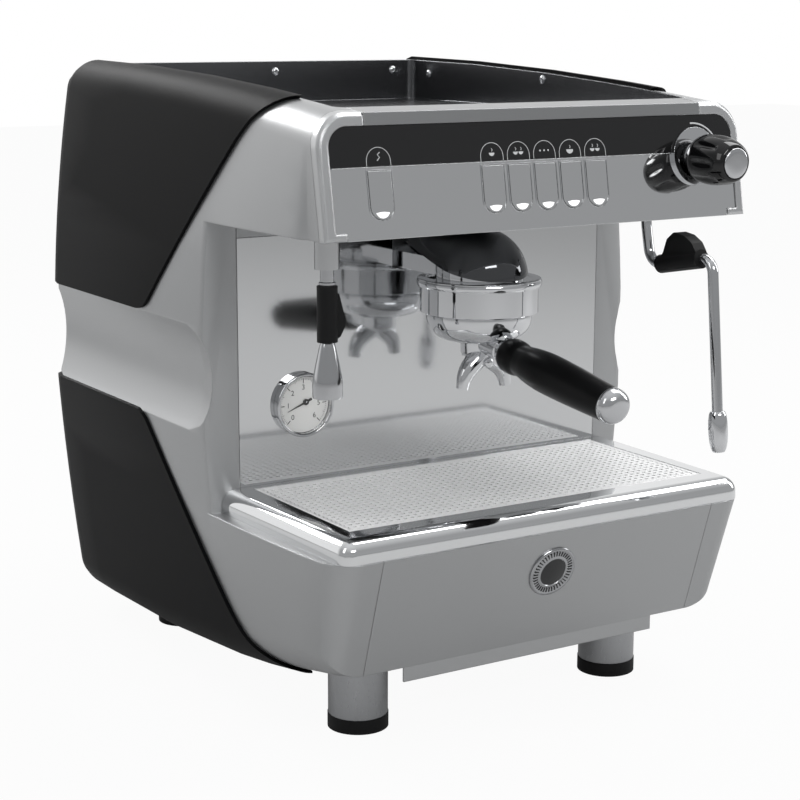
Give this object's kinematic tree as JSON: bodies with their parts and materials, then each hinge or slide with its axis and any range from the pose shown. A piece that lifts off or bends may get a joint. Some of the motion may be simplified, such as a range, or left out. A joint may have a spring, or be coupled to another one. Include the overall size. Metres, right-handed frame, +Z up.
{
  "type": "espresso machine",
  "caption": "Commercial espresso machine: C-shaped housing with drip tray, brewing group with filter holder, steam wand and hot-water outlet.",
  "frame": {"origin": "on the bench under the middle of the machine's box", "axes": "+X to the user's right, +Y to the back, +Z up"},
  "size_m": [0.4474, 0.615, 0.5377],
  "materials": {
    "satin_silver": "satin silver",
    "black_cover": "satin black",
    "polished_steel": "polished stainless steel",
    "black_glass": "black, glossy",
    "galvanised_steel": "bare sheet",
    "rubber_black": "matt",
    "copper": "bare copper",
    "cast_motor": "painted",
    "badge_metal": "satin",
    "brass_fittings": "turned",
    "black_plastic": "satin",
    "chrome_fittings": "polished",
    "grey_gloss": "glossy grey",
    "clear_glass": "clear",
    "needle_black": "matt",
    "button_grey": "satin"
  },
  "bodies": {
    "housing": {"side_panel_left": "satin_silver", "side_panel_right": "satin_silver", "rear_panel": "satin_silver", "base_front_panel": "satin_silver", "head_front_panel": "satin_silver", "head_underside": "satin_silver", "upper_cover_left": "black_cover", "upper_cover_right": "black_cover", "lower_cover_left": "black_cover", "lower_cover_right": "black_cover", "splash_panel": "polished_steel", "cup_tray": "polished_steel", "feet": "polished_steel", "guard_screws": "polished_steel", "shower_screen": "polished_steel", "corner_trim_left": "polished_steel", "corner_trim_right": "polished_steel", "head_top_rail": "polished_steel", "label_band": "black_glass", "underside_pan": "galvanised_steel", "chassis": "galvanised_steel", "control_box": "galvanised_steel", "foot_pads": "rubber_black", "group_gasket": "rubber_black", "boiler": "copper", "pump_motor": "cast_motor", "badge_disc": "badge_metal", "water_inlet": "brass_fittings", "drain_spigot": "brass_fittings", "steam_valve": "brass_fittings", "cable_gland": "black_plastic", "group_body": "chrome_fittings", "group_ring": "chrome_fittings", "steam_escutcheon": "chrome_fittings", "wand_nut": "chrome_fittings", "water_fitting": "chrome_fittings", "gauge_case": "chrome_fittings", "group_hood": "grey_gloss", "gauge_lens": "clear_glass"},
    "button_1": {"button_1": "button_grey"},
    "button_2": {"button_2": "button_grey"},
    "button_3": {"button_3": "button_grey"},
    "button_4": {"button_4": "button_grey"},
    "button_5": {"button_5": "button_grey"},
    "button_6": {"button_6": "button_grey"},
    "steam_knob": {"steam_knob": "black_plastic", "steam_knob_cap": "chrome_fittings"},
    "wand": {"steam_wand": "chrome_fittings", "wand_nozzle": "chrome_fittings", "wand_grip": "rubber_black"},
    "water_outlet": {"water_spout": "chrome_fittings", "water_sleeve": "rubber_black"},
    "portafilter": {"portafilter_body": "chrome_fittings", "portafilter_basket": "polished_steel", "portafilter_handle": "black_plastic", "handle_cap": "chrome_fittings"},
    "drip_tray": {"drip_tray_frame": "polished_steel", "drip_tray_bin": "galvanised_steel"},
    "grille": {"drip_grille": "polished_steel"},
    "needle": {"gauge_needle": "needle_black"}
  },
  "joints": [
    {"name": "button_1_press", "type": "slide", "parent": "housing", "child": "button_1", "axis": [0, 0.9848, -0.1736], "range_m": [0, 0.002], "stiffness_N_per_m": 400, "springref_m": -0.001},
    {"name": "button_2_press", "type": "slide", "parent": "housing", "child": "button_2", "axis": [0, 0.9848, -0.1736], "range_m": [0, 0.002], "stiffness_N_per_m": 400, "springref_m": -0.001},
    {"name": "button_3_press", "type": "slide", "parent": "housing", "child": "button_3", "axis": [0, 0.9848, -0.1736], "range_m": [0, 0.002], "stiffness_N_per_m": 400, "springref_m": -0.001},
    {"name": "button_4_press", "type": "slide", "parent": "housing", "child": "button_4", "axis": [0, 0.9848, -0.1736], "range_m": [0, 0.002], "stiffness_N_per_m": 400, "springref_m": -0.001},
    {"name": "button_5_press", "type": "slide", "parent": "housing", "child": "button_5", "axis": [0, 0.9848, -0.1736], "range_m": [0, 0.002], "stiffness_N_per_m": 400, "springref_m": -0.001},
    {"name": "button_6_press", "type": "slide", "parent": "housing", "child": "button_6", "axis": [0, 0.9848, -0.1736], "range_m": [0, 0.002], "stiffness_N_per_m": 400, "springref_m": -0.001},
    {"name": "steam_knob_turn", "type": "hinge", "parent": "housing", "child": "steam_knob", "pos_m": [0.155, -0.20506, 0.46502], "axis": [0, -0.999, -0.0454], "range_deg": [0, 270]},
    {"name": "wand_swivel", "type": "hinge", "parent": "housing", "child": "wand", "pos_m": [0.145, -0.158, 0.41], "axis": [0, 0, 1], "range_deg": [-60, 60]},
    {"name": "water_outlet_swivel", "type": "hinge", "parent": "housing", "child": "water_outlet", "pos_m": [-0.171, -0.1565, 0.39], "axis": [0, 0, 1], "range_deg": [-60, 60]},
    {"name": "portafilter_lock", "type": "hinge", "parent": "housing", "child": "portafilter", "pos_m": [0, -0.1165, 0.34], "axis": [0, 0, 1], "range_deg": [-45, 0]},
    {"name": "drip_tray_lift", "type": "slide", "parent": "housing", "child": "drip_tray", "axis": [0, 0, 1], "range_m": [0, 0.02]},
    {"name": "grille_lift", "type": "slide", "parent": "drip_tray", "child": "grille", "axis": [0, 0, 1], "range_m": [0, 0.012]},
    {"name": "gauge_needle_turn", "type": "hinge", "parent": "housing", "child": "needle", "pos_m": [-0.1246, -0.0396, 0.2568], "axis": [0, 1, 0], "range_deg": [-13, 237], "stiffness_Nm_per_rad": 0.002}
  ]
}
